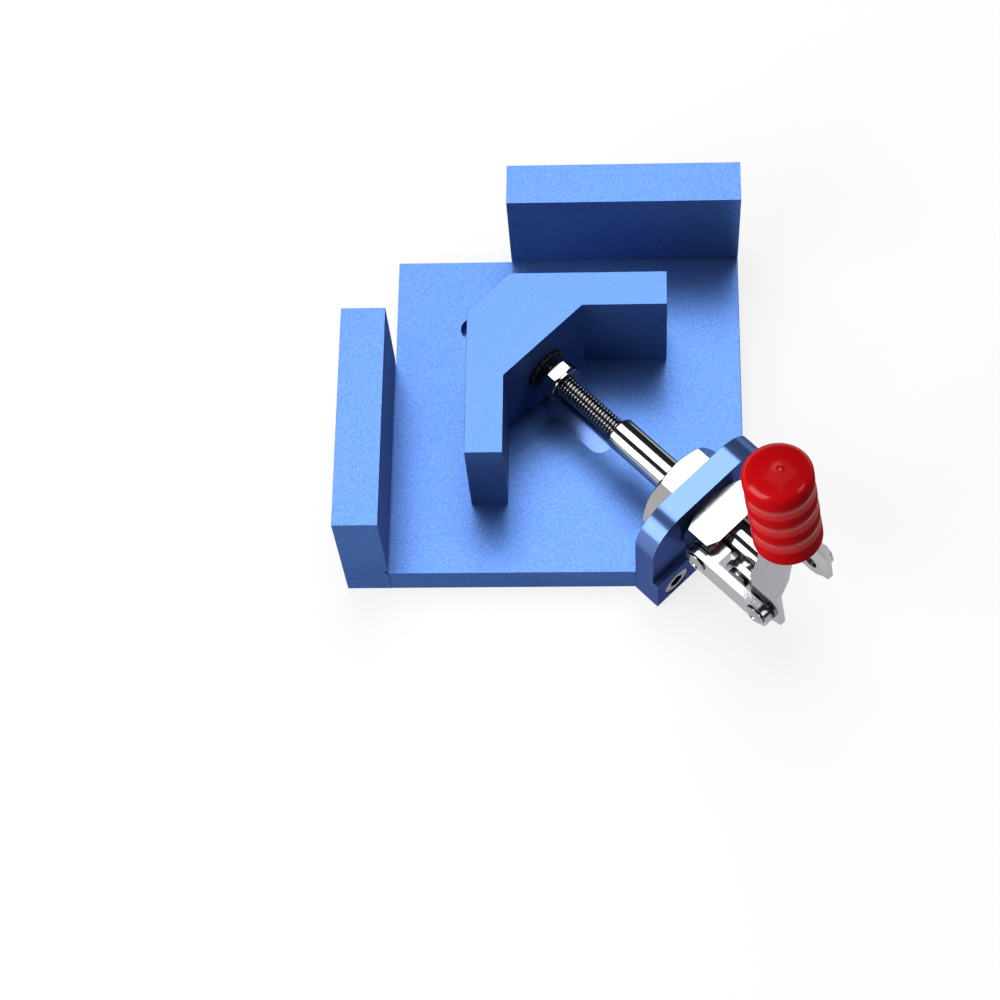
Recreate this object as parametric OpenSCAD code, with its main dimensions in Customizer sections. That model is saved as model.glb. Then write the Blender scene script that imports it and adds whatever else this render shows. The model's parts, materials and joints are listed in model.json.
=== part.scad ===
// Right-angle corner clamp with a push-pull toggle. Millimetres, +Z up.
// The origin is the centre of the base plate's bottom face. The toggle works along the diagonal,
// from the clamped corner at the rear left to the cut corner of the plate at the front right.

/* [Base plate] */
// Side of the square base plate
base_w = 96; // [90:1:120]
// Thickness of the base plate
base_t = 10; // [10:0.5:14]
// Length cut from each side at the corner that carries the bracket
corner_cut = 29.5; // [29:0.5:32]

/* [Fences] */
// Thickness of a fence
fence_t = 12; // [10:0.5:16]
// Length of a fence along its side of the plate
fence_len = 64; // [50:1:72]
// Height of a fence from the bench
fence_h = 42; // [36:1:50]
// Distance from a fence's end to its nearer screw
fence_screw_inset = 14; // [10:1:18]
// Height of the chip groove at the foot of a fence's inner face
groove_h = 1.6; // [1:0.2:2.4]
// Depth of the chip groove
groove_d = 0.8; // [0.5:0.1:1.2]

/* [Push block] */
// Gap between a fence and the block, where the work lies
channel = 22; // [18:1:24]
// Length of the block's outer faces
block_len = 53.5; // [48:0.5:56]
// Thickness of each leg of the block
block_leg = 10; // [9:0.5:12]
// Height of the block
block_h = 32; // [30:1:40]
// Length cut from each outer face at the block's nose
nose_cut = 11.2; // [10:0.2:13]
// Length cut from each inner face where the spindle enters
throat_cut = 20.8; // [19:0.2:22]

/* [Guide slot and key] */
// Width of the guide slot in the base
slot_w = 7; // [6:0.5:9]
// Depth of the guide slot
slot_depth = 4; // [3:0.5:5]
// Length of the key that slides in the slot
key_len = 15; // [14:1:18]
// Distance between the two screws of the key
key_screw_pitch = 7.5; // [7:0.5:9]
// Shank diameter of the key screws
key_screw_d = 3; // [2.5:0.5:3]
// Length of slot in front of the block
slot_show = 24; // [22:1:28]
// Travel of the block towards the clamped corner
advance = 12; // [8:1:14]

/* [Bracket] */
// Width of the toggle bracket
bracket_w = 42; // [38:1:46]
// Height of the bracket
bracket_h = 39.5; // [39:0.5:44]
// Thickness of the upright plate of the bracket
bracket_t = 6.5; // [6:0.5:8]
// Thickness of the bracket's foot
foot_t = 8.3; // [8.2:0.1:9.5]
// Height of the bracket's foot
foot_h = 13; // [11:0.5:14]
// Radius of the bracket's top corners
bracket_r = 11; // [8:0.5:13]
// Distance between the two bracket screws
bracket_screw_pitch = 27; // [26:1:30]

/* [Screws] */
// Shank diameter of the socket cap screws
screw_d = 5; // [4:0.5:5]
// Head diameter of the socket cap screws
screw_head_d = 8.5; // [7.5:0.25:8.5]
// Head height of the socket cap screws
screw_head_h = 5; // [4:0.5:5]
// Key size of the socket in the head
socket_af = 4; // [3:0.5:4]
// Length of screw that bites into the base plate
screw_bite = 11; // [8:1:14]

/* [Toggle body] */
// Height of the toggle's axis above the bench
axis_h = 26.5; // [26:0.25:27.5]
// Outer diameter of the threaded barrel
barrel_d = 16; // [14:0.5:17]
// Length of barrel that stands out of the nut
barrel_proud = 0.8; // [0.4:0.2:2]
// Size across the flats of the barrel nut
nut_af = 24; // [22:1:26]
// Thickness of the barrel nut
nut_t = 5.6; // [5:0.2:6.4]
// Width of the body behind the bracket
body_w = 20; // [19:0.5:22]
// Height of the body behind the bracket
body_h = 15; // [14:0.5:17]
// Length of the solid part of the body
body_len = 10; // [9.5:0.25:10.5]
// Length of the two cheeks at the rear of the body
cheek_len = 2.8; // [2:0.2:3]
// Height of the cheeks above the toggle's axis
cheek_rise = 3; // [1:0.5:4]

/* [Plunger and spindle] */
// Diameter of the plunger
plunger_d = 9; // [8.5:0.25:9.5]
// Length of plunger that stands out of the barrel
plunger_reach = 20.8; // [18:0.2:23]
// Length of plunger behind its pin
plunger_tail = 4.5; // [4:0.25:5]
// Outer diameter of the spindle's thread
thread_d = 6; // [5:0.5:6]
// Length of spindle inside the plunger at rest
thread_grip = 20; // [18:1:22]
// Spare depth of the hole behind the spindle
thread_spare = 12; // [11:0.5:14]
// Head diameter of the spindle
spindle_head_d = 10; // [9:0.5:11]
// Head height of the spindle
spindle_head_h = 5; // [4:0.5:6]
// Size across the flats of the jam nut
jam_nut_af = 10; // [9:0.5:12]
// Thickness of the jam nut
jam_nut_t = 3.6; // [3:0.2:4.4]
// Length of thread between the retaining ring and the jam nut
jam_gap = 2.3; // [1:0.1:3]
// Outer diameter of the thin washer on the jam nut
jam_washer_d = 11; // [11:0.5:14]
// Thickness of the thin washer
jam_washer_t = 0.8; // [0.6:0.1:1.2]
// Outer diameter of the toothed retaining ring
ring_d = 12.5; // [11.5:0.5:14]
// Thickness of the retaining ring
ring_t = 1.2; // [0.8:0.1:1.6]
// Number of teeth round the retaining ring
ring_teeth = 12; // [8:1:14]

/* [Linkage] */
// Distance from the bracket to the front pivot of the links
front_pivot = 7.6; // [7.4:0.1:8]
// Distance between the two pivots of a link
link_len = 21.2; // [21:0.1:22]
// Distance from the plunger pin to the rear pivot on the handle
crank_len = 10.1; // [10:0.1:10.3]
// Thickness of a link
link_t = 2.4; // [2:0.1:3]
// Height of a link
link_h = 8; // [7.5:0.25:9]
// Shank diameter of the rivets and the plunger pin
pin_d = 4; // [3.5:0.25:4]
// Head diameter of the rivets
rivet_head_d = 6.2; // [5.6:0.2:7]
// Head height of the rivets
rivet_head_h = 1.2; // [0.8:0.1:1.6]

/* [Handle and grip] */
// Thickness of the handle's sheet
sheet_t = 1.8; // [1.5:0.1:2]
// Gap between a link and the handle's foot
foot_gap = 0.4; // [0.3:0.05:0.6]
// Radius of the ear round the plunger pin
ear_r = 4.8; // [4.4:0.1:5]
// Width of the handle's strip
strip_w = 9.6; // [9:0.2:10]
// Distance from the plunger pin to the front edge of the strip
strip_front = 4.8; // [4.6:0.1:5]
// Height of the top of a handle foot above the toggle's axis
foot_rise = 11.5; // [10:0.5:13]
// Height at which the grip starts above the toggle's axis
grip_rise = 26.2; // [24:0.5:29]
// Distance from the toggle's middle plane to the outer face of the strip inside the grip
tang_out = 5.4; // [5:0.1:5.6]
// Height above the toggle's axis where the strip starts to lean forward
lean_rise = 18; // [14:0.5:20]
// Forward lean of the strip and the grip in degrees
grip_lean = 10.9; // [8:0.1:12]
// Length of the grip
grip_len = 32.7; // [28:0.1:40]
// Diameter of the grip
grip_d = 17.8; // [17:0.2:20]
// Radius of the grip's shoulder
grip_shoulder = 3; // [2:0.25:4]
// Radius of the low dome on top of the grip
grip_dome = 16; // [12:1:24]
// Number of ring grooves on the grip
grip_grooves = 3; // [2:1:3]
// Distance between two ring grooves
groove_pitch = 7.7; // [6:0.1:8]
// Height of the lowest groove above the grip's lower end
groove_first = 8.1; // [6:0.1:9]

/* [Fits] */
// Radial gap of a turning or sliding fit
run_gap = 0.05; // [0.03:0.01:0.08]
// Gap between flat faces that slide past each other
slide_gap = 0.15; // [0.1:0.05:0.3]
// Gap between the layers of the linkage
layer_gap = 0.3; // [0.25:0.05:0.4]
// Radial gap of a screw in its clearance hole
screw_gap = 0.1; // [0.05:0.05:0.2]

/* [Hidden] */
$fn = 64;
eps = 0.01;
half = base_w / 2;
root2 = sqrt(2);

// Places along the diagonal, from the origin towards the bracket
nose_u = -(half - channel) * root2 + nose_cut / root2;
throat_u = -(half - channel - block_leg) * root2 + throat_cut / root2;
bracket_u = half * root2 - corner_cut / root2;
body_u = bracket_u + bracket_t;
body_end_u = body_u + body_len;
barrel_front_u = bracket_u - nut_t - barrel_proud;
plunger_front_u = barrel_front_u - plunger_reach;
front_pivot_u = body_u + front_pivot;
pin_u = front_pivot_u + link_len - crank_len;
rear_pivot_u = front_pivot_u + link_len;

// Spindle and block
block_z = base_t + slide_gap;
head_pocket = spindle_head_h + 1;
spindle_head_u = nose_u + head_pocket - spindle_head_h;
ring_u = throat_u + slide_gap;
jam_nut_u = ring_u + ring_t + jam_gap;
jam_washer_u = jam_nut_u + jam_nut_t;
spindle_end_u = plunger_front_u + thread_grip;
key_u = (nose_u + throat_u) / 2 - 2;
slot_front_u = throat_u + slot_show;
slot_back_u = key_u - key_len / 2 - advance - 1;
key_screw_head_d = key_screw_d * 1.75;
key_screw_head_h = key_screw_d * 0.6;
key_screw_bite = 8;

// Layers of the linkage, measured out from its middle plane
link_in = body_w / 2 + layer_gap;
foot_out = link_in - foot_gap;
foot_in = foot_out - sheet_t;
ear_out = foot_in + sheet_t / 18;
ear_in = ear_out - sheet_t;
spacer_in = plunger_d / 2 + layer_gap;
pin_head_h = 0.75 * rivet_head_h;
cheek_in = plunger_d / 1.8;
rivet_bite = body_w / 4;

// Handle
strip_mid_u = pin_u + strip_front + strip_w / 2;
grip_z = axis_h + grip_rise;
grip_u = strip_mid_u - (grip_rise - lean_rise) * tan(grip_lean);
tang_drop = 0.07 * grip_rise;
tang_len = grip_len - 0.52 * grip_d;
fold_z = grip_rise + tang_len * cos(grip_lean);
foot_flare = 0.23 * strip_w;
foot_back = strip_front + strip_w + foot_flare;
groove_depth = grip_d / 36;
groove_r = grip_d / 9;

steel = "silver";
bright = "gainsboro";
blue = "royalblue";

// Turns the diagonal onto +X, so that children are placed by distance along it, across it and up
module diagonal() rotate([0, 0, -45]) children();

// Lays children, drawn up +Z, along the toggle's axis from a place on the diagonal
module on_axis(u) diagonal() translate([u, 0, axis_h]) rotate([0, 90, 0]) children();

// Lays children, drawn up +Z, outwards through the linkage at a place on the toggle's axis
module across(u, out) diagonal() translate([u, -out, axis_h]) rotate([90, 0, 0]) children();

// Makes the same thing on both sides of the linkage
module both_sides() {
    children();
    mirror([1, 1, 0]) children();
}

module ring(d, bore, h) difference() {
    cylinder(d = d, h = h);
    translate([0, 0, -eps]) cylinder(d = bore, h = h + 2 * eps);
}

// Socket cap screw with its head's underside at z = 0 and its shank pointing down
module cap_screw(d, bite, head_d, head_h, af) difference() {
    union() {
        translate([0, 0, -bite]) cylinder(d = d, h = bite + eps);
        cylinder(d = head_d, h = head_h);
    }
    translate([0, 0, head_h / 2]) cylinder(d = af * 2 / sqrt(3), h = head_h, $fn = 6);
}

// Space for that screw: its hole below z = 0 and a pocket for its head above
module cap_screw_space(d, bite, head_d, head_h) {
    translate([0, 0, -bite]) cylinder(d = d + 2 * screw_gap, h = bite + eps);
    cylinder(d = head_d + 4 * screw_gap, h = head_h + 2);
}

// Hexagonal nut with its lower rim turned to a chamfer, and its upper rim too unless it seats there on its full flat face
module hex_nut(af, h, bore, seats = false) {
    rim_r = af / 2 * 0.97;
    turned_r = af * 0.6;
    rim_h = (turned_r - rim_r) * tan(30);
    upper = seats ? [[turned_r, h]] : [[turned_r, h - rim_h], [rim_r, h]];
    difference() {
        intersection() {
            rotate([0, 0, 30]) cylinder(r = af / sqrt(3), h = h, $fn = 6);
            rotate_extrude()
                polygon(concat([[0, 0], [rim_r, 0], [turned_r, rim_h]], upper, [[0, h]]));
        }
        translate([0, 0, -eps]) cylinder(d = bore, h = h + 2 * eps);
    }
}

// Bar with round ends from one point to another along X
module stadium(x0, x1, w) {
    translate([x0, -w / 2]) square([x1 - x0, w]);
    for (x = [x0, x1]) translate([x, 0]) circle(d = w);
}

// The two screws of the left fence, heads outwards
module at_fence_screws() {
    for (y = [-half + fence_screw_inset, -half + fence_len - fence_screw_inset])
        translate([-half - fence_t + screw_head_h + 0.3, y, base_t / 2]) rotate([0, -90, 0]) children();
}

// The two screws of the bracket, heads outwards
module at_bracket_screws() diagonal() {
    for (v = [-1, 1] * bracket_screw_pitch / 2)
        translate([bracket_u + foot_t - screw_head_h - 0.3, v, base_t / 2]) rotate([0, 90, 0]) children();
}

// The two screws of the guide key, heads downwards
module at_key_screws() diagonal() {
    for (du = [-1, 1] * key_screw_pitch / 2)
        translate([key_u + du, 0, base_t - slot_depth + 0.3]) rotate([180, 0, 0]) children();
}

fence_bite = fence_t - screw_head_h - 0.3 + screw_bite;
bracket_bite = foot_t - screw_head_h - 0.3 + screw_bite;

module base_plate() color(blue) difference() {
    linear_extrude(base_t)
        polygon([[-half, -half], [half - corner_cut, -half], [half, corner_cut - half], [half, half],
            [-half, half]]);
    diagonal() translate([0, 0, base_t - slot_depth]) linear_extrude(slot_depth + 1)
        stadium(slot_back_u + slot_w / 2, slot_front_u - slot_w / 2, slot_w);
    both_sides() at_fence_screws()
        cap_screw_space(screw_d, fence_bite + 1, screw_head_d, screw_head_h);
    at_bracket_screws() cap_screw_space(screw_d, bracket_bite + 1, screw_head_d, screw_head_h);
}

module fence() difference() {
    translate([-half - fence_t, -half, 0]) cube([fence_t, fence_len, fence_h]);
    translate([-half - groove_d, -half - 1, base_t]) cube([groove_d + 1, fence_len + 2, groove_h]);
    at_fence_screws() cap_screw_space(screw_d, fence_t, screw_head_d, screw_head_h);
}

module left_fence() color(blue) fence();

module rear_fence() color(blue) mirror([1, 1, 0]) fence();

module fence_screws() color(steel) both_sides() at_fence_screws()
    cap_screw(screw_d, fence_bite, screw_head_d, screw_head_h, socket_af);

module push_block() color(blue) {
    out = half - channel;
    in = out - block_leg;
    end = out - block_len;
    difference() {
        translate([0, 0, block_z]) linear_extrude(block_h)
            polygon([[-out, out - nose_cut], [nose_cut - out, out], [-end, out], [-end, in],
                [throat_cut - in, in], [-in, in - throat_cut], [-in, end], [-out, end]]);
        on_axis(nose_u - 1) cylinder(d = spindle_head_d + 1, h = head_pocket + 1);
        on_axis(nose_u) cylinder(d = thread_d + 2 * run_gap, h = throat_u - nose_u + 1);
        at_key_screws() translate([0, 0, -key_screw_bite - slot_depth - 1])
            cylinder(d = key_screw_d + 2 * screw_gap, h = key_screw_bite + slot_depth + 1);
    }
}

module guide_key() color(steel) difference() {
    diagonal() translate([key_u, 0, base_t - slot_depth + 2 * slide_gap])
        linear_extrude(slot_depth - slide_gap)
            stadium((slot_w - key_len) / 2, (key_len - slot_w) / 2, slot_w - 2 * slide_gap);
    at_key_screws() {
        translate([0, 0, -slot_depth - 2]) cylinder(d = key_screw_d + 2 * screw_gap, h = slot_depth + 2);
        translate([0, 0, -key_screw_head_h - 0.1])
            cylinder(d = key_screw_head_d + 2 * screw_gap, h = key_screw_head_h + 2);
    }
}

module guide_key_screws() color(steel) at_key_screws() translate([0, 0, -key_screw_head_h])
    cap_screw(key_screw_d, key_screw_bite, key_screw_head_d, key_screw_head_h, key_screw_d / 2);

module toggle_bracket() color(blue) difference() {
    union() {
        diagonal() translate([bracket_u, 0, 0]) rotate([90, 0, 90]) linear_extrude(bracket_t) {
            translate([-bracket_w / 2, 0]) square([bracket_w, bracket_h - bracket_r]);
            translate([bracket_r - bracket_w / 2, 0]) square([bracket_w - 2 * bracket_r, bracket_h]);
            for (v = [-1, 1] * (bracket_w / 2 - bracket_r))
                translate([v, bracket_h - bracket_r]) circle(r = bracket_r);
        }
        diagonal() translate([bracket_u, -bracket_w / 2, 0]) cube([foot_t, bracket_w, foot_h]);
    }
    on_axis(bracket_u - 1) cylinder(d = barrel_d + 2 * screw_gap, h = bracket_t + foot_t);
    at_bracket_screws() cap_screw_space(screw_d, foot_t, screw_head_d, screw_head_h);
}

module bracket_screws() color(steel) at_bracket_screws()
    cap_screw(screw_d, bracket_bite, screw_head_d, screw_head_h, socket_af);

// Body turned from a flat bar: threaded barrel in front, a shouldered block behind, two cheeks at the rear
module toggle_body() color(steel) {
    turned_r = norm([body_w, body_h]) * 0.512;
    rim_r = body_h * 0.6;
    end_rim_r = body_w / 2;
    rim_h = (turned_r - rim_r) * tan(30);
    end_rim_h = (turned_r - end_rim_r) * tan(30);
    difference() {
        union() {
            on_axis(barrel_front_u) cylinder(d = barrel_d, h = body_u - barrel_front_u + eps);
            on_axis(body_u) intersection() {
                translate([-body_h / 2, -body_w / 2, 0]) cube([body_h, body_w, body_len]);
                rotate_extrude() polygon([[0, 0], [rim_r, 0], [turned_r, rim_h],
                    [turned_r, body_len - end_rim_h], [end_rim_r, body_len], [0, body_len]]);
            }
            both_sides() diagonal() translate([body_end_u - 1, -body_w / 2, axis_h - body_h / 2])
                cube([cheek_len + 1, body_w / 2 - cheek_in, body_h / 2 + cheek_rise]);
        }
        on_axis(barrel_front_u - 1)
            cylinder(d = plunger_d + 2 * run_gap, h = body_end_u + cheek_len - barrel_front_u + 2);
        both_sides() across(front_pivot_u, 0) cylinder(d = pin_d + 2 * run_gap, h = body_w);
    }
}

module barrel_nut() color(bright) on_axis(bracket_u - nut_t) hex_nut(nut_af, nut_t, barrel_d + 2 * run_gap, seats = true);

module plunger() color(bright) {
    tip = plunger_d / 15;
    len = pin_u + plunger_tail - plunger_front_u;
    difference() {
        on_axis(plunger_front_u) {
            cylinder(d1 = plunger_d - 2 * tip, d2 = plunger_d, h = tip);
            translate([0, 0, tip]) cylinder(d = plunger_d, h = len - 2 * tip);
            translate([0, 0, len - tip]) cylinder(d1 = plunger_d, d2 = plunger_d - 2 * tip, h = tip);
        }
        on_axis(plunger_front_u - 1)
            cylinder(d = thread_d + 2 * run_gap, h = thread_grip + thread_spare + 1);
        across(pin_u, -plunger_d) cylinder(d = pin_d + 2 * run_gap, h = 2 * plunger_d);
    }
}

module spindle() color(steel) difference() {
    union() {
        on_axis(spindle_head_u) cylinder(d = spindle_head_d, h = spindle_head_h);
        on_axis(spindle_head_u + eps) cylinder(d = thread_d, h = spindle_end_u - spindle_head_u);
    }
    on_axis(spindle_head_u - eps) cylinder(d = socket_af * 2 / sqrt(3), h = spindle_head_h / 2, $fn = 6);
}

module jam_nut() color(bright) on_axis(jam_nut_u) hex_nut(jam_nut_af, jam_nut_t, thread_d + 2 * run_gap);

module jam_washer() color(bright) on_axis(jam_washer_u)
    ring(jam_washer_d, thread_d + 2 * run_gap, jam_washer_t);

// Push-on ring with teeth round its rim
module retaining_ring() color("black") on_axis(ring_u) difference() {
    ring(ring_d, thread_d + 2 * run_gap, ring_t);
    for (i = [1:ring_teeth]) rotate(i * 360 / ring_teeth)
        translate([ring_d / 2, 0, -eps]) cylinder(d = ring_d / 8, h = ring_t + 2 * eps);
}

module link() diagonal() translate([0, -link_in, axis_h]) rotate([90, 0, 0]) linear_extrude(link_t)
    difference() {
        stadium(front_pivot_u, rear_pivot_u, link_h);
        for (u = [front_pivot_u, rear_pivot_u]) translate([u, 0]) circle(d = pin_d + 2 * run_gap);
    }

module left_link() color(steel) link();

module right_link() color(steel) mirror([1, 1, 0]) link();

// Domed rivet head with its flat side at z = 0
module rivet_head() rotate_extrude() intersection() {
    translate([0, rivet_head_h - rivet_head_d * 0.62]) circle(d = rivet_head_d * 1.24);
    square([rivet_head_d / 2, rivet_head_h]);
}

// Rivet at a pivot of the left link: its head lies on the link and its shank reaches inwards
module link_rivet(u, reach) {
    across(u, link_in + link_t + slide_gap) rivet_head();
    across(u, link_in - reach) cylinder(d = pin_d, h = reach + link_t + slide_gap + eps);
}

module link_front_rivets() color(steel) both_sides() link_rivet(front_pivot_u, layer_gap + rivet_bite);

module link_rear_rivets() color(steel) both_sides() link_rivet(rear_pivot_u, 0);

// Side outline of the left leg, drawn from the plunger pin: along the diagonal, then up
module leg_outline() difference() {
    union() {
        circle(r = ear_r);
        translate([0, -ear_r]) square([strip_front + 1, 2 * ear_r]);
        translate([strip_front, -ear_r]) square([crank_len - strip_front, ear_r + foot_rise]);
        translate([crank_len, 0]) circle(r = ear_r);
        polygon([[crank_len, -ear_r], [foot_back, -ear_r / 4],
            [foot_back - foot_flare, foot_rise], [strip_front, foot_rise]]);
    }
    for (u = [0, crank_len]) translate([u, 0]) circle(d = pin_d + 2 * run_gap);
}

// Plan of the left leg's sheet, from the plunger pin: the ear runs inside, the foot is set out by a joggle
module leg_plan() {
    bend = 0.8 * strip_front;
    run = sheet_t;
    lap = sheet_t / 3;
    polygon([[-ear_r, -ear_in], [-ear_r, -ear_out], [bend, -ear_out], [bend + run, -foot_out],
        [foot_back, -foot_out], [foot_back, -foot_in], [bend + run + lap, -foot_in], [bend + lap, -ear_in]]);
}

// Left leg below the strip
module leg() diagonal() translate([pin_u, 0, axis_h]) intersection() {
    translate([0, 0, -ear_r]) linear_extrude(ear_r + foot_rise) leg_plan();
    rotate([90, 0, 0]) linear_extrude(2 * foot_out) leg_outline();
}

// Side outline of the strip, from the plunger pin: upright above the foot, then leaning forward to the fold
module strip_outline() {
    top = fold_z + tang_out;
    shift = (top - lean_rise) * tan(grip_lean);
    back = strip_front + strip_w;
    polygon([[strip_front, foot_rise], [back, foot_rise], [back, lean_rise], [back - shift, top],
        [strip_front - shift, top], [strip_front, lean_rise]]);
}

// Section of the folded strip across the diagonal: both sides lean in to the grip and meet in a round fold
module fork_section() {
    neck = grip_rise - tang_drop;
    tang_in = tang_out - sheet_t;
    for (side = [-1, 1])
        polygon([[side * foot_in, foot_rise], [side * foot_out, foot_rise], [side * tang_out, neck],
            [side * tang_out, fold_z], [side * tang_in, fold_z], [side * tang_in, neck]]);
    translate([0, fold_z]) intersection() {
        difference() {
            circle(r = tang_out);
            circle(r = tang_in);
        }
        translate([-tang_out, 0]) square([2 * tang_out, tang_out]);
    }
}

// Places children on the grip's own leaning axis, with its lower end at z = 0
module in_grip() translate([grip_u, 0, grip_z]) rotate([0, -grip_lean, 0]) children();

// One strip of sheet folded over inside the grip
module handle_fork() color(steel) {
    both_sides() leg();
    diagonal() translate([pin_u, 0, axis_h]) intersection() {
        translate([-foot_back, 0, 0]) rotate([90, 0, 90]) linear_extrude(2 * foot_back) fork_section();
        translate([0, foot_out, 0]) rotate([90, 0, 0]) linear_extrude(2 * foot_out) strip_outline();
    }
}

module plunger_pin() color(bright) {
    across(pin_u, -ear_out - pin_head_h) cylinder(d = pin_d, h = 2 * (ear_out + pin_head_h));
    both_sides() across(pin_u, ear_out) cylinder(d = rivet_head_d, h = pin_head_h);
}

module pin_spacers() color(steel) both_sides() across(pin_u, spacer_in)
    ring(2 * ear_r - 1, pin_d + 2 * run_gap, ear_in - spacer_in);

// Dipped grip: a sleeve with a low dome, ring grooves, and a slot for the folded strip
module grip() color("firebrick") diagonal() in_grip() difference() {
    r = grip_d / 2;
    inner = r - grip_shoulder;
    drop = sqrt(pow(grip_dome - grip_shoulder, 2) - pow(inner, 2));
    side = grip_len - grip_dome + drop;
    rotate_extrude() difference() {
        union() {
            square([r, side]);
            translate([inner, side]) circle(r = grip_shoulder);
            intersection() {
                translate([0, side - drop]) circle(r = grip_dome);
                square([inner * grip_dome / (grip_dome - grip_shoulder), grip_len]);
            }
        }
        for (i = [0:grip_grooves - 1])
            translate([r + groove_r - groove_depth, groove_first + i * groove_pitch]) circle(r = groove_r);
    }
    slot_out = tang_out + screw_gap;
    slot_half = strip_w / 2 + screw_gap;
    slot_top = tang_len + slot_half * sin(grip_lean);
    translate([-slot_half, -slot_out, -1]) cube([2 * slot_half, 2 * slot_out, slot_top + 1]);
    translate([0, 0, slot_top]) rotate([90, 0, 90]) translate([0, 0, -slot_half])
        cylinder(r = slot_out, h = 2 * slot_half);
}

base_plate();
left_fence();
rear_fence();
fence_screws();
push_block();
guide_key();
guide_key_screws();
toggle_bracket();
bracket_screws();
toggle_body();
barrel_nut();
plunger();
spindle();
jam_nut();
jam_washer();
retaining_ring();
left_link();
right_link();
link_front_rivets();
link_rear_rivets();
handle_fork();
plunger_pin();
pin_spacers();
grip();
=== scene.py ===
# %% [markdown]
# # A blue corner clamp, dressed for its photograph
# The clamp squares a corner: two fences stand at a right angle on a plate, and a toggle with a red
# handle pushes an L-shaped block into the corner between them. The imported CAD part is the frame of
# this scene. Every piece made here takes the place of a CAD piece, in the same coordinates, and
# rides on the same moving body. Lengths are written in millimetres, as on a drawing, and turned
# into metres once.

# %% The frame
import json
import math

import bmesh
import bpy
import numpy as np
from mathutils import Matrix, Vector


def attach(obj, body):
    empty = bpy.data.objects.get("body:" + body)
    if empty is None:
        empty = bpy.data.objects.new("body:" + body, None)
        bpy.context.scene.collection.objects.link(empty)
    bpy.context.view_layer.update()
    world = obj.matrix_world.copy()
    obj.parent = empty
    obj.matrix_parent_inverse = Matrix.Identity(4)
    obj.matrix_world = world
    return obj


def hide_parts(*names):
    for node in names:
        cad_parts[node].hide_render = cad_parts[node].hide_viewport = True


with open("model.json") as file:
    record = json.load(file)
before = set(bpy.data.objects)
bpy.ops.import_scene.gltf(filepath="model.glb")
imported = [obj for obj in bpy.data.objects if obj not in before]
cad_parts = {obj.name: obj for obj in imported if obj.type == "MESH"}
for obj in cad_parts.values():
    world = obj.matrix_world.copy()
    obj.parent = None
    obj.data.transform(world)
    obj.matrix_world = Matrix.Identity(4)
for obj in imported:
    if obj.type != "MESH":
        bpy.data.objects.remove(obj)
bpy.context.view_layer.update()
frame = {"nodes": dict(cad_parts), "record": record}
MM = 0.001
bodies = frame["record"]["behaviour"]["bodies"]
body_of = {node: body for body, nodes in bodies.items() for node in nodes}
slot_of = {row["node"]: row["material_slot"] for row in frame["record"]["subparts"]}

# %% [markdown]
# The toggle works along the diagonal of the square plate. Measured that way its pieces are simple:
# `u` runs along the diagonal from the middle of the plate towards the bracket, `w` runs across it,
# and `z` is up. One function turns whole arrays of such places into points of the scene, so the
# shapes below never have to think about the 45 degrees.

# %% Places along the diagonal
AXIS_H, PLUNGER_TIP_U = 26.5, 19.82


def place(u, w, z):
    """Point of the scene for a place on the diagonal: x is the sum of u and w over root two, and
    y is w less u over root two."""
    u, w, z = np.broadcast_arrays(u, w, z)
    return np.stack([(u + w) / math.sqrt(2), (w - u) / math.sqrt(2), z], axis=-1) * MM


print("plunger tip at", place(PLUNGER_TIP_U, 0, AXIS_H).round(4))

# %% [markdown]
# A turned piece is a grid: one direction runs along its profile, the other round its axis. The grid
# is filled with four-sided faces by index arithmetic on whole arrays. At an end on the axis all the
# points of a row fall together, and merging them closes the end with a fan. Edges sharper than a
# limit stay crisp, and all others are shaded smooth.

# %% From a grid of points to a mesh
CRISP = math.radians(20)
SAME_POINT = 1e-7


def grid_faces(rows, cols):
    """Quads of a grid closed in its second direction: each joins a point, the next one round, and
    the two in the next row."""
    i, j = np.meshgrid(np.arange(rows - 1), np.arange(cols), indexing="ij")
    k = (j + 1) % cols
    quads = [i * cols + j, i * cols + k, (i + 1) * cols + k, (i + 1) * cols + j]
    return np.stack(quads, axis=-1).reshape(-1, 4)


def tidy_mesh(bm, mesh):
    """Merges points that fall together, turns all faces outwards and shades the mesh smooth up to
    the crisp limit."""
    bmesh.ops.remove_doubles(bm, verts=bm.verts, dist=SAME_POINT)
    bmesh.ops.recalc_face_normals(bm, faces=bm.faces)
    bm.to_mesh(mesh)
    bm.free()
    mesh.shade_smooth()
    mesh.set_sharp_from_angle(angle=CRISP)


def mesh_of(name, grids):
    """Mesh of one or more closed grids of points, each an array of rows, columns and three
    coordinates."""
    points, faces, start = [], [], 0
    for grid in grids:
        rows, cols = grid.shape[:2]
        points.append(grid.reshape(-1, 3))
        faces.append(grid_faces(rows, cols) + start)
        start += rows * cols
    mesh = bpy.data.meshes.new(name)
    mesh.from_pydata(np.concatenate(points).tolist(), [], np.concatenate(faces).tolist())
    bm = bmesh.new()
    bm.from_mesh(mesh)
    tidy_mesh(bm, mesh)
    return mesh


print("edges stay crisp past", round(math.degrees(CRISP)), "degrees")

# %% [markdown]
# A piece joins the clamp in two steps: it rides on the body of the CAD piece that it stands for,
# and it hides that CAD piece. All pieces do the same, so one function does it for them.

# %% Standing in for CAD pieces


def stand_in(name, mesh, *nodes):
    """Puts a mesh into the scene for CAD pieces: it rides on their body and hides them."""
    piece = bpy.data.objects.new(name, mesh)
    bpy.context.scene.collection.objects.link(piece)
    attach(piece, body_of[nodes[0]])
    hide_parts(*nodes)
    return piece


print("bodies to ride on:", ", ".join(bodies))

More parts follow.
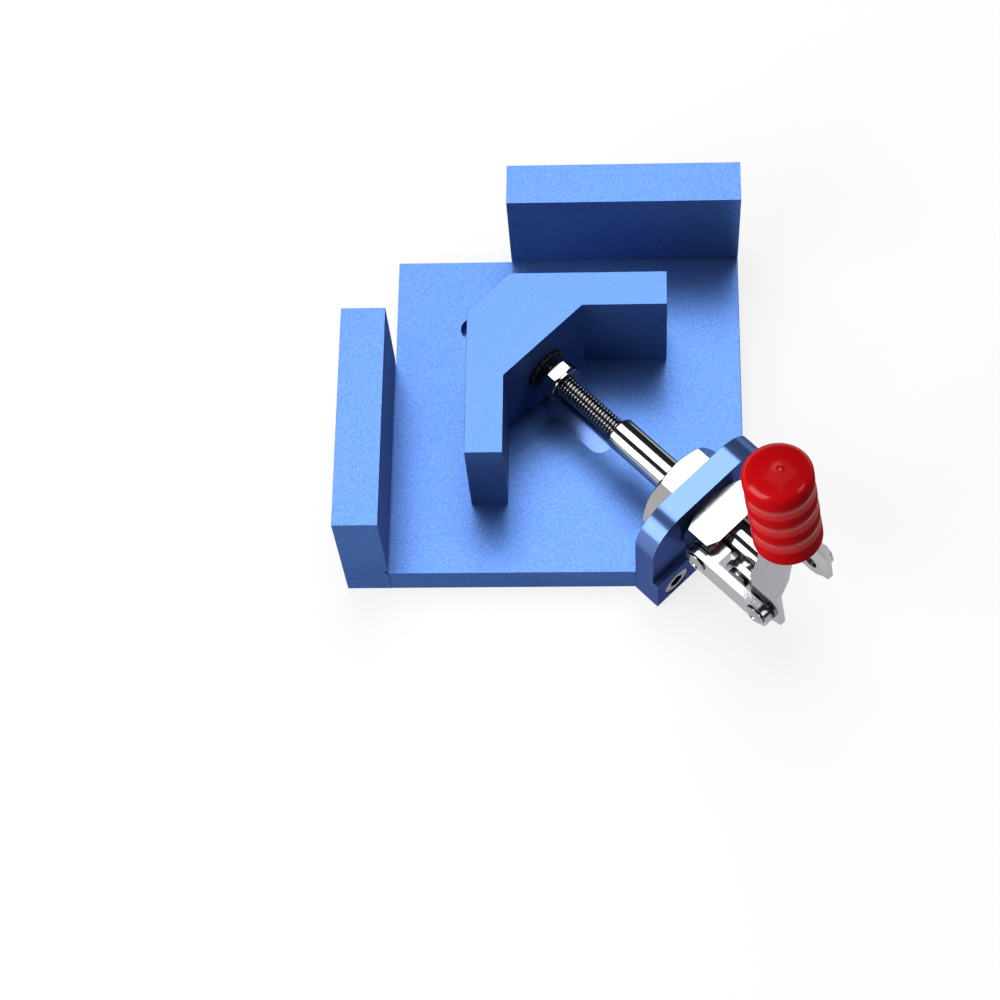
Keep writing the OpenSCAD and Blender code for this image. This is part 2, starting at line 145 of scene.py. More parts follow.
# %% [markdown]
# ## Finishes
# Effects that several finishes share are node groups. The first group gives two of them: the fine
# grain of a blasted or tumbled surface, a noise so small that it shows as speckle, and a slow drift
# of tone over a few centimetres, which keeps a plate from looking printed. The second group gives
# fine lines, as left by turning or grinding: a noise that is stretched by squeezing the position.

# %% Shared effects
NUMBER, VECTOR = "NodeSocketFloat", "NodeSocketVector"
GRAINS, PATCHES, LINES_PER_M = 2400.0, 28.0, 1800.0
# Detail of each noise, and the marks that become 0 and 1.
SPECKLE_NOISE, DRIFT_NOISE, LINES_NOISE = (2.0, 0.3, 0.7), (1.0, 0.15, 0.85), (3.0, 0.25, 0.75)


def new_group(name, inputs, outputs):
    """Empty node group with named sockets, and its input and output nodes."""
    group = bpy.data.node_groups.new(name, "ShaderNodeTree")
    for label, kind, value in inputs:
        socket = group.interface.new_socket(label, in_out="INPUT", socket_type=kind)
        if value is not None:
            socket.default_value = value
    for label in outputs:
        group.interface.new_socket(label, in_out="OUTPUT", socket_type=NUMBER)
    return group, group.nodes.new("NodeGroupInput"), group.nodes.new("NodeGroupOutput")


def noise_into(group, vector, scale, detail, low, high):
    """Noise of a scale, stretched so that its low and high marks become 0 and 1."""
    noise = group.nodes.new("ShaderNodeTexNoise")
    noise.inputs["Detail"].default_value = detail
    group.links.new(vector, noise.inputs["Vector"])
    group.links.new(scale, noise.inputs["Scale"])
    spread = group.nodes.new("ShaderNodeMapRange")
    spread.interpolation_type = "SMOOTHSTEP"
    spread.inputs["From Min"].default_value = low
    spread.inputs["From Max"].default_value = high
    group.links.new(noise.outputs["Fac"], spread.inputs["Value"])
    return spread.outputs["Result"]


def grain_group():
    """Fine grain: speckle from small noise and drift from large noise, each from 0 to 1."""
    sockets = [("Position", VECTOR, None), ("Grains per metre", NUMBER, GRAINS),
               ("Patches per metre", NUMBER, PATCHES)]
    group, inside, out = new_group("blasted_grain", sockets, ["Speckle", "Drift"])
    where = inside.outputs["Position"]
    speckle = noise_into(group, where, inside.outputs["Grains per metre"], *SPECKLE_NOISE)
    drift = noise_into(group, where, inside.outputs["Patches per metre"], *DRIFT_NOISE)
    group.links.new(speckle, out.inputs["Speckle"])
    group.links.new(drift, out.inputs["Drift"])
    return group


def lines_group():
    """Fine lines: noise on a position that was squeezed in one or two directions, from 0 to 1."""
    sockets = [("Position", VECTOR, None), ("Squeeze", VECTOR, (1.0, 1.0, 1.0)),
               ("Lines per metre", NUMBER, LINES_PER_M)]
    group, inside, out = new_group("grinding_lines", sockets, ["Lines"])
    squeeze = group.nodes.new("ShaderNodeVectorMath")
    squeeze.operation = "MULTIPLY"
    group.links.new(inside.outputs["Position"], squeeze.inputs[0])
    group.links.new(inside.outputs["Squeeze"], squeeze.inputs[1])
    squeezed = squeeze.outputs["Vector"]
    lines = noise_into(group, squeezed, inside.outputs["Lines per metre"], *LINES_NOISE)
    group.links.new(lines, out.inputs["Lines"])
    return group


GRAIN, LINES = grain_group(), lines_group()
print("shared effects:", GRAIN.name, "and", LINES.name)

# %% [markdown]
# Each finish is one Principled shader. What is the same all over is set on the shader's own
# sockets, and only what changes over the surface comes through nodes: two tones mixed by the grain,
# a roughness that follows the drift, and a very low bump.

# %% A finish from tones, grain and bump
SPECKLE_SHARE, LINES_SHARE = 0.6, 0.6


def effect(tree, group, where, **values):
    """Places a shared effect in a material, at a position and with its own values."""
    node = tree.nodes.new("ShaderNodeGroup")
    node.node_tree = group
    tree.links.new(where, node.inputs["Position"])
    for label, value in values.items():
        node.inputs[label.replace("_", " ")].default_value = value
    return node


def mixed(tree, factor, first, second):
    """Mix of two values by a fixed share of the second."""
    mix = tree.nodes.new("ShaderNodeMix")
    mix.inputs["Factor"].default_value = factor
    tree.links.new(first, mix.inputs["A"])
    tree.links.new(second, mix.inputs["B"])
    return mix.outputs["Result"]


def finish(name, dark, light, rough, bump_mm, grains=GRAINS, patches=PATCHES,
           speckle=SPECKLE_SHARE, lines=None, **plain):
    """Material whose colour goes from a dark to a light tone with speckle and drift, whose
    roughness goes between two values with the drift, and whose bump is the speckle at a given
    height. Lines, a squeeze and a number per metre, join the speckle."""
    material = bpy.data.materials.new(name)
    material.use_nodes = True
    tree = material.node_tree
    shader = tree.nodes["Principled BSDF"]
    for socket, value in plain.items():
        shader.inputs[socket.replace("_", " ")].default_value = value
    where = tree.nodes.new("ShaderNodeTexCoord").outputs["Object"]
    grain = effect(tree, GRAIN, where, Grains_per_metre=grains, Patches_per_metre=patches)
    drift, fine = grain.outputs["Drift"], grain.outputs["Speckle"]
    if lines:
        streak = effect(tree, LINES, where, Squeeze=lines[0], Lines_per_metre=lines[1])
        fine = mixed(tree, LINES_SHARE, fine, streak.outputs["Lines"])
    tone = tree.nodes.new("ShaderNodeMix")
    tone.data_type = "RGBA"
    tone.inputs["A"].default_value, tone.inputs["B"].default_value = (*dark, 1), (*light, 1)
    tree.links.new(mixed(tree, speckle, drift, fine), tone.inputs["Factor"])
    tree.links.new(tone.outputs["Result"], shader.inputs["Base Color"])
    gloss = tree.nodes.new("ShaderNodeMapRange")
    gloss.inputs["To Min"].default_value, gloss.inputs["To Max"].default_value = rough
    tree.links.new(drift, gloss.inputs["Value"])
    tree.links.new(gloss.outputs["Result"], shader.inputs["Roughness"])
    bump = tree.nodes.new("ShaderNodeBump")
    bump.inputs["Distance"].default_value = bump_mm * MM
    tree.links.new(fine, bump.inputs["Height"])
    tree.links.new(bump.outputs["Normal"], shader.inputs["Normal"])
    return material


print("usual grain:", GRAINS, "per metre, in patches of", round(1 / PATCHES / MM), "mm")

# %% [markdown]
# Anodised aluminium is a metal under a thin clear skin. A dark tint at grazing angles keeps the
# upright faces deep while the tops stay bright. Noise is dull on the planes of its own lattice,
# where a height is a whole number of grains, and shows rings there. The plate's top lies at 10 mm,
# so the blasted grain has 3655 to the metre, which puts that top between two such planes. Zinc and
# ground steel differ in their tone, their gloss and the fine lines of the ground ones.

# %% The finishes of this clamp
BLAST_GRAINS, STEEL_GRAINS, STEEL_PATCHES = 3655.0, 1500.0, 90.0
GROUND_LINES = ((0.02, 0.02, 1.0), 3000.0)
ANODISED = {"Specular_IOR_Level": 0.0, "Specular_Tint": (0.2, 0.16, 0.22, 1),
            "Coat_Weight": 0.15, "Coat_Roughness": 0.3}
STEEL = {"grains": STEEL_GRAINS, "Metallic": 1.0}
RECIPES = {
    "blue_anodised": dict(dark=(0.050, 0.120, 0.36), light=(0.108, 0.232, 0.58),
                          rough=(0.26, 0.34), bump_mm=0.009, grains=BLAST_GRAINS, speckle=0.75,
                          Metallic=0.6, **ANODISED),
    "blue_milled": dict(dark=(0.100, 0.178, 0.44), light=(0.120, 0.212, 0.51),
                        rough=(0.15, 0.20), bump_mm=0.006, Metallic=0.7, **ANODISED),
    "zinc_steel": dict(dark=(0.32, 0.325, 0.345), light=(0.385, 0.385, 0.405),
                       rough=(0.14, 0.26), bump_mm=0.003, patches=STEEL_PATCHES, **STEEL),
    "screw_steel": dict(dark=(0.12, 0.12, 0.118), light=(0.17, 0.17, 0.165),
                        rough=(0.20, 0.30), bump_mm=0.003, patches=STEEL_PATCHES, **STEEL),
    "zinc_thread": dict(dark=(0.36, 0.36, 0.37), light=(0.46, 0.46, 0.47),
                        rough=(0.12, 0.20), bump_mm=0.002, **STEEL),
    "bright_steel": dict(dark=(0.34, 0.335, 0.335), light=(0.42, 0.415, 0.41),
                         rough=(0.08, 0.14), bump_mm=0.001, patches=STEEL_PATCHES,
                         lines=GROUND_LINES, **STEEL),
    "black_steel": dict(dark=(0.008, 0.008, 0.009), light=(0.022, 0.022, 0.024),
                        rough=(0.28, 0.42), bump_mm=0.01, grains=1800.0, Metallic=0.2),
    "red_grip": dict(dark=(0.62, 0.004, 0.007), light=(0.68, 0.005, 0.009),
                     rough=(0.36, 0.44), bump_mm=0.006, grains=500.0, patches=60.0, speckle=0.3,
                     Specular_IOR_Level=0.0, Coat_Roughness=0.16),
}
FINISH = {name: finish(name, **recipe) for name, recipe in RECIPES.items()}
print("finishes:", ", ".join(FINISH))

# %% [markdown]
# ## Milled, stamped and turned pieces
# Most pieces have the right shape in the CAD part, but its edges are perfectly sharp, and no real
# edge is. A copy of each is merged into one skin, its flat faces are joined, and a bevel breaks the
# edges: wide on the blasted plates, narrow on nuts and sheet. The broken edges are what catches the
# light along the outline of a machined part. Weighted normals, led by the faces that the bevel
# calls strong, keep the flat faces flat in the light right up to the bevel. The bracket and the
# floor of the guide slot were cut after the blasting, so they get the smoother blue of a milled
# face, and the sunk screws are a darker steel.

# %% Broken edges
EDGE_BREAK = {
    "base_plate": 0.25, "left_fence": 0.25, "rear_fence": 0.25, "push_block": 0.25,
    "toggle_bracket": 0.25, "toggle_body": 0.15, "handle_fork": 0.25, "left_link": 0.25,
    "right_link": 0.25, "barrel_nut": 0.12, "jam_nut": 0.1, "jam_washer": 0.15,
    "retaining_ring": 0.12, "plunger": 0.15, "plunger_pin": 0.2, "pin_spacers": 0.2,
    "fence_screws": 0.3, "bracket_screws": 0.3, "guide_key": 0.3, "guide_key_screws": 0.2}
OWN_FINISH = {"toggle_bracket": "blue_milled", "bracket_screws": "screw_steel",
              "fence_screws": "screw_steel"}
FLAT = math.radians(0.2)
SAME_CAD_POINT, BEVEL_STEPS = 1e-6, 2


def softened(node, width):
    """Copy of a CAD piece as one skin with joined flat faces and edges broken to a width in
    millimetres. No edge stays sharp in the shading, because the bevel rounds them all."""
    mesh = frame["nodes"][node].data.copy()
    mesh.name = node + "_finished"
    mesh.materials.clear()
    bm = bmesh.new()
    bm.from_mesh(mesh)
    bmesh.ops.remove_doubles(bm, verts=bm.verts, dist=SAME_CAD_POINT)
    bmesh.ops.dissolve_limit(bm, angle_limit=FLAT, verts=bm.verts, edges=bm.edges)
    tidy_mesh(bm, mesh)
    mesh.attributes.remove(mesh.attributes["sharp_edge"])
    piece = stand_in(node + "_finished", mesh, node)
    bevel = piece.modifiers.new("broken_edges", "BEVEL")
    bevel.width = width * MM
    bevel.segments = BEVEL_STEPS
    bevel.limit_method = "ANGLE"
    bevel.angle_limit = CRISP
    bevel.face_strength_mode = "FSTR_ALL"
    shading = piece.modifiers.new("flat_faces_lead", "WEIGHTED_NORMAL")
    shading.use_face_influence = True
    piece.data.materials.append(FINISH[OWN_FINISH.get(node, slot_of[node])])
    return piece


dressed = {node: softened(node, width) for node, width in EDGE_BREAK.items()}
print("edges broken on", len(dressed), "pieces")

# %% [markdown]
# The guide slot is part of the plate, so its floor can't get a finish as a piece of its own. The
# plate takes a second material instead, and the faces of the floor are found by where they look and
# how deep they lie.

# %% Floor of the guide slot
FACING_UP, SUNK = 0.99, 0.1


def mill_slot(plate):
    """Gives the floor of the guide slot, the faces that look up from below the plate's top, the
    finish that a cutter leaves, and counts them."""
    plate.data.materials.append(FINISH["blue_milled"])
    top = max(vert.co.z for vert in plate.data.vertices)
    milled = [face for face in plate.data.polygons
              if face.normal.z > FACING_UP and face.center.z < top - SUNK * MM]
    for face in milled:
        face.material_index = 1
    return len(milled)


print("milled faces in the slot:", mill_slot(dressed["base_plate"]))

# %% [markdown]
# ## The spindle
# The threaded rod between the block and the plunger is an M6 screw with a round head hidden in the
# nose. A cylinder with a striped bump would give itself away at its outline, so the thread is real:
# the radius of the grid depends on how far a point lies along the axis less how far round it is,
# which winds one groove into a right-hand helix. The head's hexagonal socket comes from the same
# grid, with a radius that depends on the angle alone.

# %% Thread and head
PITCH, THREAD_R, THREAD_DEEP = 1.0, 3.0, 0.58
CREST, FLANK = 0.85, 0.7
HEAD_U, HEAD_R, HEAD_LEN, HEAD_CHAMFER = -27.85, 5.0, 5.0, 0.4
SOCKET_AF, SOCKET_DEEP = 4.0, 2.5
THREAD_FROM, RUN_OUT = -8.5, 0.1
SPINDLE_END, END_R, END_CHAMFER = 39.81, 2.3, 0.6
ROUND, ROWS_PER_TURN = 48, 10


def hexagon(angle, across_flats):
    """Radius of a hexagon at an angle: half its width over the cosine of the angle from the middle
    of the nearest flat."""
    return across_flats / 2 / np.cos((angle + math.pi / 6) % (math.pi / 3) - math.pi / 6)


def thread_radius(along, angle):
    """Radius of a screw thread: a triangle wave of the turns along less the turns round, with a
    flat crest and a flat root."""
    wave = np.abs((along / PITCH - angle / (2 * math.pi)) % 1 - 0.5) * 2
    return THREAD_R - THREAD_DEEP * np.clip((CREST - wave) / FLANK, 0, 1)


def spindle_grid():
    """Rows along the spindle: floor and wall of the socket, head, plain neck, thread, and a
    chamfered end. A radius of None is the socket's hexagon."""
    angle = np.linspace(0, 2 * math.pi, ROUND, endpoint=False)
    neck = [(SOCKET_DEEP, 0), (SOCKET_DEEP, None), (0, None), (0, HEAD_R - HEAD_CHAMFER),
            (HEAD_CHAMFER, HEAD_R), (HEAD_LEN, HEAD_R), (HEAD_LEN, THREAD_R)]
    neck_u = HEAD_U + np.array([u for u, _ in neck])
    neck_r = np.stack([hexagon(angle, SOCKET_AF) if r is None else np.full(ROUND, r)
                       for _, r in neck])
    thread_u = np.arange(THREAD_FROM, SPINDLE_END - END_CHAMFER, PITCH / ROWS_PER_TURN)
    thread_r = thread_radius(thread_u[:, None], angle[None])
    start_r, end_r = np.full((1, ROUND), THREAD_R), np.full((1, ROUND), END_R)
    u = np.concatenate([neck_u, [THREAD_FROM - RUN_OUT], thread_u, [SPINDLE_END, SPINDLE_END]])
    r = np.concatenate([neck_r, start_r, thread_r, end_r, np.zeros((1, ROUND))])
    return place(u[:, None], r * np.cos(angle), AXIS_H + r * np.sin(angle))


spindle = stand_in("spindle_thread", mesh_of("spindle_thread", [spindle_grid()]), "spindle")
print("spindle:", len(spindle.data.polygons), "faces")

# %% [markdown]
# The roots of the thread lie in shade and only its crests catch the light, so painted shade fades
# the finish to black towards the axis. The distance from the axis is worked out in the material by
# vector arithmetic, and so the painted shade follows the helix without a drawn pattern.

# %% Painted shade in the roots
# Darkness of the painted shade at the root, and the depth below the crest where it ends.
ROOT_SHADE_TONE, CREST_UNSHADED = 0.06, 0.1


def vector_step(tree, operation, vector, operand=None):
    """One step of vector arithmetic on a vector, with a fixed operand where it takes one."""
    step = tree.nodes.new("ShaderNodeVectorMath")
    step.operation = operation
    tree.links.new(vector, step.inputs[0])
    if operand is not None:
        step.inputs[1].default_value = operand
    return step


def shade_by(material, mask):
    """Multiplies the colour of a finish by a mask that changes over the surface."""
    tree = material.node_tree
    base = tree.nodes["Principled BSDF"].inputs["Base Color"]
    product = tree.nodes.new("ShaderNodeMix")
    product.data_type, product.blend_type = "RGBA", "MULTIPLY"
    product.inputs["Factor"].default_value = 1.0
    tree.links.new(base.links[0].from_socket, product.inputs["A"])
    tree.links.new(mask, product.inputs["B"])
    tree.links.new(product.outputs["Result"], base)


def painted_root_shade(material, root, crest):
    """Painted shade in the thread: the distance from the spindle's axis, the length of a cross
    product, fades the tone of a finish from almost black at the root to its own at the crest."""
    tree = material.node_tree
    where = tree.nodes.new("ShaderNodeTexCoord").outputs["Object"]
    away = vector_step(tree, "SUBTRACT", where, (0, 0, AXIS_H * MM))
    turn = vector_step(tree, "CROSS_PRODUCT", away.outputs["Vector"], place(1, 0, 0) / MM)
    far = vector_step(tree, "LENGTH", turn.outputs["Vector"])
    fade = tree.nodes.new("ShaderNodeMapRange")
    marks = {"From Min": root * MM, "From Max": crest * MM, "To Min": ROOT_SHADE_TONE, "To Max": 1.0}
    for socket, value in marks.items():
        fade.inputs[socket].default_value = value
    tree.links.new(far.outputs["Value"], fade.inputs["Value"])
    shade_by(material, fade.outputs["Result"])


# Painted shade darkens the thread's roots.
painted_root_shade(FINISH["zinc_thread"], THREAD_R - THREAD_DEEP, THREAD_R - CREST_UNSHADED)
spindle.data.materials.append(FINISH["zinc_thread"])
print("thread dark below", THREAD_R - CREST_UNSHADED, "mm from the axis")

# %% [markdown]
# ## The rivets
# Each link turns on two rivets. Their heads are domes with a small dimple where the riveting tool
# pressed, and the dimple is what shows in the photograph as a dark dot with a glint. The profile is
# carried round the pivot's axis, which runs across the diagonal, and mirrored for the link on the
# other side.

# %% Domed heads with a dimple
LINK_FACE, RIVET_HEAD_R, HEAD_H, PIN_R = 12.85, 3.1, 1.2, 2.0
DIMPLE_R, DIMPLE_DEEP, HEAD_FALL = 1.1, 0.9, 0.75
RIVET_ROUND, HEAD_ROWS = 40, 26
# Place of each pivot along the diagonal, and how far its rivet reaches in from the link's face.
RIVETS = {"link_front_rivets": (61.1226, 7.85), "link_rear_rivets": (82.3226, 2.55)}


def rivet_grid(u, reach, side):
    """Rivet at a place on the diagonal: a shank from its inner end to the link, and a head whose
    height falls with the square of the radius and dips in the middle by a bell-shaped dimple."""
    angle = np.linspace(0, 2 * math.pi, RIVET_ROUND, endpoint=False)
    r_head = np.linspace(RIVET_HEAD_R, 0, HEAD_ROWS)
    dome = HEAD_H * (1 - HEAD_FALL * (r_head / RIVET_HEAD_R) ** 2)
    rise = dome - DIMPLE_DEEP * np.exp(-((r_head / DIMPLE_R) ** 4))
    out = np.concatenate([[-reach, -reach, 0, 0], rise])[:, None]
    r = np.concatenate([[0, PIN_R, PIN_R, RIVET_HEAD_R], r_head])[:, None]
    return place(u + r * np.cos(angle), side * (LINK_FACE + out), AXIS_H + r * np.sin(angle))


for node, (pivot, reach) in RIVETS.items():
    grids = [rivet_grid(pivot, reach, side) for side in (-1, 1)]
    piece = stand_in(node + "_domed", mesh_of(node + "_domed", grids), node)
    piece.data.materials.append(FINISH[slot_of[node]])
    print(node, "at", pivot, "mm along the diagonal")

# %% [markdown]
# ## The grip
# The handle's steel is dipped in red vinyl. Dipping leaves no sharp edge anywhere: the top is a low
# dome with a round shoulder, the lower lip is round, and the ring grooves are soft hollows. A
# turned grid whose radius is constant less a row of bell-shaped hollows gives all of it, and the
# whole leans towards the plate with the handle.

# %% Dipped grip
GRIP_U, GRIP_Z, GRIP_LEAN = 80.2435, 52.7, math.radians(10.9)
GRIP_LEN, GRIP_R, SHOULDER_R, DOME_R, LIP = 32.7, 8.9, 3.0, 16.0, 1.0
GROOVES, GROOVE_DEEP, GROOVE_WIDE = (8.1, 15.8, 23.5), 0.6, 1.2
NUB_H, NUB_WIDE, NUB_AT = 0.3, 0.7, (1.5, -0.1)
GRIP_ROUND, LIP_ROWS, SIDE_ROWS, SHOULDER_ROWS, DOME_ROWS = 80, 8, 160, 14, 24


def grip_radius(up):
    """Radius of the grip's side at a height: constant, less a bell-shaped hollow at each groove."""
    hollows = sum(np.exp(-(((up - groove) / GROOVE_WIDE) ** 2)) for groove in GROOVES)
    return GRIP_R - GROOVE_DEEP * hollows


def leaned(forward, across, up):
    """Point of the scene for a place on the upright grip: forward and up turn by the lean."""
    u = GRIP_U + forward * math.cos(GRIP_LEAN) - up * math.sin(GRIP_LEAN)
    z = GRIP_Z + forward * math.sin(GRIP_LEAN) + up * math.cos(GRIP_LEAN)
    return place(u, across, z)


def grip_grid():
    """Rows up the grip: a flat end, a round lip, the grooved side, the arc of the shoulder, and the
    flatter arc of the dome, which touches it. The last drop of the dip stands as a small bell on
    the top."""
    angle = np.linspace(0, 2 * math.pi, GRIP_ROUND, endpoint=False)
    inner = GRIP_R - SHOULDER_R
    drop = math.sqrt((DOME_R - SHOULDER_R) ** 2 - inner**2)
    side_top = GRIP_LEN - DOME_R + drop
    tilt = math.atan2(drop, inner)
    lip = np.linspace(0, math.pi / 2, LIP_ROWS)
    side = np.linspace(LIP, side_top, SIDE_ROWS)[1:]
    shoulder = np.linspace(0, tilt, SHOULDER_ROWS)[1:]
    dome = np.linspace(tilt, math.pi / 2, DOME_ROWS)[1:]
    up = np.concatenate([[0], LIP * (1 - np.cos(lip)), side,
                         side_top + SHOULDER_R * np.sin(shoulder),
                         side_top - drop + DOME_R * np.sin(dome)])[:, None]
    r = np.concatenate([[0], grip_radius(LIP) - LIP * (1 - np.sin(lip)), grip_radius(side),
                        inner + SHOULDER_R * np.cos(shoulder), DOME_R * np.cos(dome)])[:, None]
    forward, across = r * np.cos(angle), r * np.sin(angle)
    off_nub = (forward - NUB_AT[0]) ** 2 + (across - NUB_AT[1]) ** 2
    up = up + np.where(up > side_top, NUB_H * np.exp(-off_nub / NUB_WIDE**2), 0)
    return leaned(forward, across, up)


grip = stand_in("grip_dipped", mesh_of("grip_dipped", [grip_grid()]), "grip")
print("grip:", len(grip.data.polygons), "faces")

# %% [markdown]
# Hands have dulled the vinyl's skin where they touch it, and it still shines where they don't,
# which is why each groove and the shoulder show as a pale line. The height along the leaning axis
# runs through colour ramps: one gives the weight of the clear coat, the other a painted shade that
# darkens the top, which gets more light than the side.

# %% Worn gloss and painted top shade of the grip
# Coat weights, and last the share of tone that painted shade leaves on the top.
DULL, SHINY, SHOULDER_SHINE, TOP_SHINE, TOP_PAINTED_SHADE = 0.03, 1.0, 0.6, 0.06, 0.66
BAND_BELOW, BAND_HALF = 0.1, 2.4
# Gloss at heights over the middle of a band, and gloss and painted shade at depths below the top.
BAND_GLOSS = ((-BAND_HALF, DULL), (0, SHINY), (BAND_HALF, DULL))
CAP_GLOSS = ((2.9, DULL), (2.3, SHOULDER_SHINE), (1.6, SHOULDER_SHINE), (1.0, TOP_SHINE),
             (0, TOP_SHINE), (-0.1, SHINY))
CAP_PAINTED_SHADE = ((3.2, 1), (1.2, TOP_PAINTED_SHADE))


def ramp_of(tree, value, stops):
    """Colour ramp from a value, with grey stops at heights in millimetres along the grip."""
    ramp = tree.nodes.new("ShaderNodeValToRGB")
    while len(ramp.color_ramp.elements) < len(stops):
        ramp.color_ramp.elements.new(1.0)
    for element, (up, grey) in zip(ramp.color_ramp.elements, stops):
        element.position = up / (GRIP_LEN + NUB_H)
        element.color = (grey, grey, grey, 1)
    tree.links.new(value, ramp.inputs["Fac"])
    return ramp.outputs["Color"]


def gloss_and_painted_top_shade(material):
    """Wear of the grip by height along its leaning axis, found by a dot product: the clear skin
    still shines on the shoulder, in the grooves and on the nub, hands have dulled it on the ridges,
    and painted shade makes the top, which the light favours, a little darker than the side."""
    tree = material.node_tree
    foot, tip = leaned(0, 0, 0), leaned(0, 0, GRIP_LEN + NUB_H)
    where = tree.nodes.new("ShaderNodeTexCoord").outputs["Object"]
    away = vector_step(tree, "SUBTRACT", where, foot).outputs["Vector"]
    axis = (tip - foot) / np.sum((tip - foot) ** 2)
    height = vector_step(tree, "DOT_PRODUCT", away, axis).outputs["Value"]
    bands = [(groove - BAND_BELOW + step, gloss)
             for groove in GROOVES for step, gloss in BAND_GLOSS]
    cap = [(GRIP_LEN - below, gloss) for below, gloss in CAP_GLOSS]
    coat = ramp_of(tree, height, [(0, DULL), *bands, *cap])
    # Painted shade: the top is darkened because it gets more light than the side.
    tone = ramp_of(tree, height, [(GRIP_LEN - below, grey) for below, grey in CAP_PAINTED_SHADE])
    shade_by(material, tone)
    tree.links.new(coat, tree.nodes["Principled BSDF"].inputs["Coat Weight"])


gloss_and_painted_top_shade(FINISH["red_grip"])
grip.data.materials.append(FINISH["red_grip"])
print("pale bands at", GROOVES, "mm up the grip")

# %% [markdown]
# ## Floor, light and camera
# The floor is a plain pale sheet. Its lit colour alone would come out grey under a soft light, so
# what the camera and reflections see of it is lifted towards white, while the light that it throws
# back on the clamp stays low and the front faces stay dark.

# %% Floor
FLOOR_TONE, FLOOR_LIFT, FLOOR_ROUGH = 0.22, 0.78, 0.9
FLOOR_HALF, FLOOR_DROP = 3.0, 0.0001


def pale_floor():
    """Material of the floor: a matt pale tone, with a lift that only camera, glossy and
    transmission rays see."""
    material = bpy.data.materials.new("pale_floor")
    material.use_nodes = True
    tree = material.node_tree
    shader = tree.nodes["Principled BSDF"]
    shader.inputs["Base Color"].default_value = (FLOOR_TONE, FLOOR_TONE, FLOOR_TONE, 1)
    shader.inputs["Roughness"].default_value = FLOOR_ROUGH
    shader.inputs["Specular IOR Level"].default_value = 0.0
    shader.inputs["Emission Color"].default_value = (1, 1, 1, 1)
    rays = tree.nodes.new("ShaderNodeLightPath")
    seen = rays.outputs["Is Camera Ray"]
    for ray in ("Is Glossy Ray", "Is Transmission Ray"):
        either = tree.nodes.new("ShaderNodeMath")
        either.operation = "MAXIMUM"
        tree.links.new(seen, either.inputs[0])
        tree.links.new(rays.outputs[ray], either.inputs[1])
        seen = either.outputs["Value"]
    lift = tree.nodes.new("ShaderNodeMath")
    lift.operation = "MULTIPLY"
    lift.inputs[1].default_value = FLOOR_LIFT
    tree.links.new(seen, lift.inputs[0])
    tree.links.new(lift.outputs["Value"], shader.inputs["Emission Strength"])
    return material


floor_mesh = bpy.data.meshes.new("floor")
corners = np.array([(-1, -1, 0), (1, -1, 0), (1, 1, 0), (-1, 1, 0)]) * FLOOR_HALF
floor_mesh.from_pydata((corners - (0, 0, FLOOR_DROP)).tolist(), [], [(0, 1, 2, 3)])
floor_mesh.materials.append(pale_floor())
floor = bpy.data.objects.new("floor", floor_mesh)
bpy.context.scene.collection.objects.link(floor)
print("floor:", 2 * FLOOR_HALF, "m square")

# %% [markdown]
# Two streaks of light run along the plunger in the photograph, so there were two large soft lights
# overhead with a gap between them: one above and behind, which makes the tops bright, and one to
# the front left. A smaller one on the right draws the pale line down that side of the grip. Each is
# placed by the direction it shines from, along the diagonal, across it and up. The world is almost
# dark and a little blue, because the softboxes do the work.

# %% Soft lights
# Direction, width and height in metres, and radiance.
LIGHTS = {"rear_softbox": ((-0.28, 0.232, 0.931), (0.66, 0.76), 4.3),
          "front_softbox": ((-0.28, -0.85, 0.445), (0.90, 0.76), 4.3),
          "right_softbox": ((0.74, 0.32, 0.57), (0.40, 0.30), 2.5)}
AIM, LIGHT_AWAY = Vector((0.0, 0.0, 0.02)), 0.95
WORLD_TONE, WORLD_STRENGTH = (0.90, 0.95, 1.0, 1), 0.04


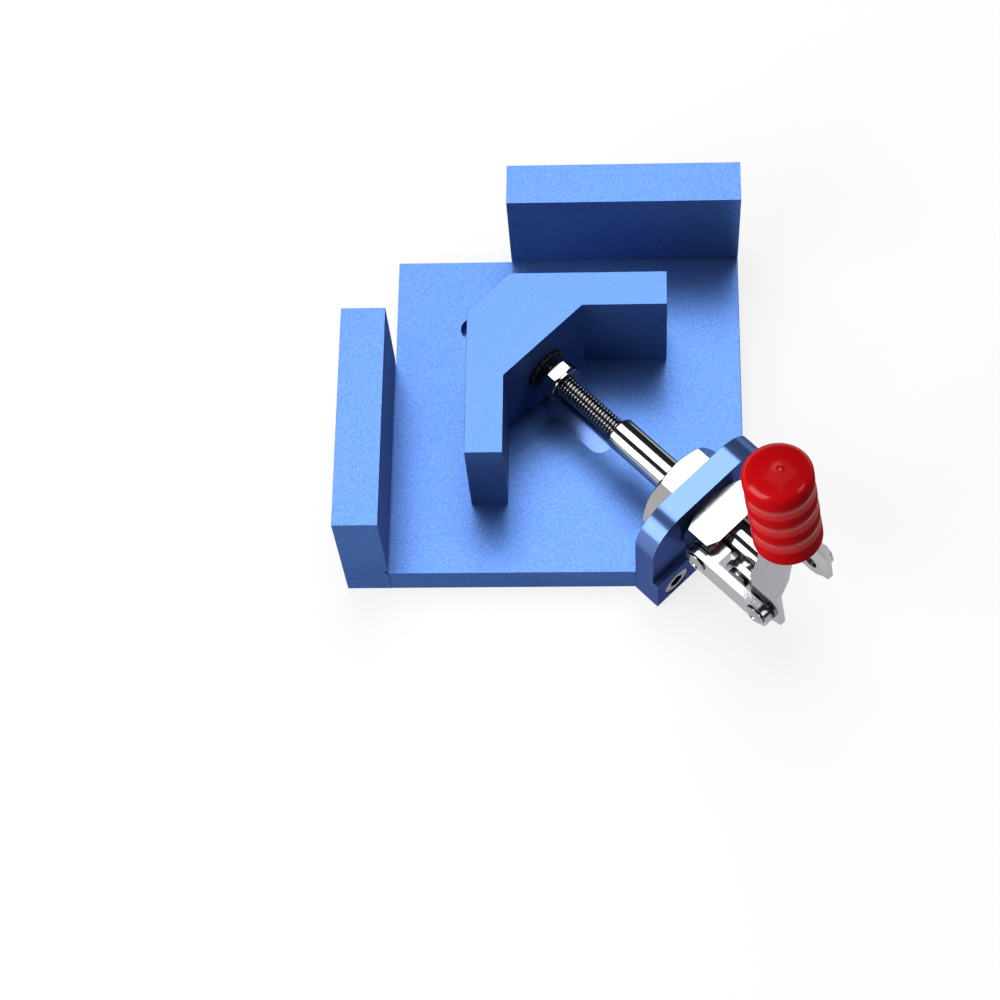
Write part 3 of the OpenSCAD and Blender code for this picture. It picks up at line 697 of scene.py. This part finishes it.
def facing(at, x_axis, y_axis, z_axis):
    """Matrix that puts an object at a point and turns its own axes into three directions."""
    return Matrix.Translation(at) @ Matrix((x_axis, y_axis, z_axis)).transposed().to_4x4()


for name, (direction, size, radiance) in LIGHTS.items():
    toward = Vector(place(*direction)).normalized()
    lamp = bpy.data.lights.new(name, "AREA")
    lamp.shape = "RECTANGLE"
    lamp.size, lamp.size_y = size
    lamp.energy = radiance * math.pi * size[0] * size[1]
    light = bpy.data.objects.new(name, lamp)
    bpy.context.scene.collection.objects.link(light)
    sideways = toward.cross(Vector(place(1, 0, 0)).normalized()).normalized()
    along = sideways.cross(toward)
    light.matrix_world = facing(AIM + toward * LIGHT_AWAY, along, sideways, toward)
    print(name, "at", [round(v, 2) for v in light.location])

world = bpy.data.worlds.new("studio")
bpy.context.scene.world = world
world.use_nodes = True
world.node_tree.nodes["Background"].inputs["Color"].default_value = WORLD_TONE
world.node_tree.nodes["Background"].inputs["Strength"].default_value = WORLD_STRENGTH

# %% [markdown]
# The camera's place, turn and focal length were fitted to corners of the plate, the fences and the
# block in the photograph. It looks steeply down from the front, turned a little to the left and
# rolled by seven degrees.

# %% Camera
CAMERA_AT = Vector((19.307, -317.499, 643.123)) * MM
YAW, PITCH_DOWN, ROLL = -0.128346, 1.136705, -0.1254
LENS, SENSOR, CLIP = 92.286, 36.0, (0.01, 20.0)

forward = Vector((math.sin(YAW) * math.cos(PITCH_DOWN), math.cos(YAW) * math.cos(PITCH_DOWN),
                  -math.sin(PITCH_DOWN)))
level = Vector((math.cos(YAW), -math.sin(YAW), 0))
above = level.cross(forward)
right = level * math.cos(ROLL) + above * math.sin(ROLL)
upward = above * math.cos(ROLL) - level * math.sin(ROLL)
camera = bpy.data.objects.new("camera", bpy.data.cameras.new("camera"))
camera.data.lens, camera.data.sensor_width = LENS, SENSOR
camera.data.clip_start, camera.data.clip_end = CLIP
camera.matrix_world = facing(CAMERA_AT, right, upward, -forward)
bpy.context.scene.collection.objects.link(camera)
bpy.context.scene.camera = camera
bpy.context.scene.view_settings.view_transform = "Standard"
print("camera", round((CAMERA_AT - AIM).length, 3), "m from the clamp")
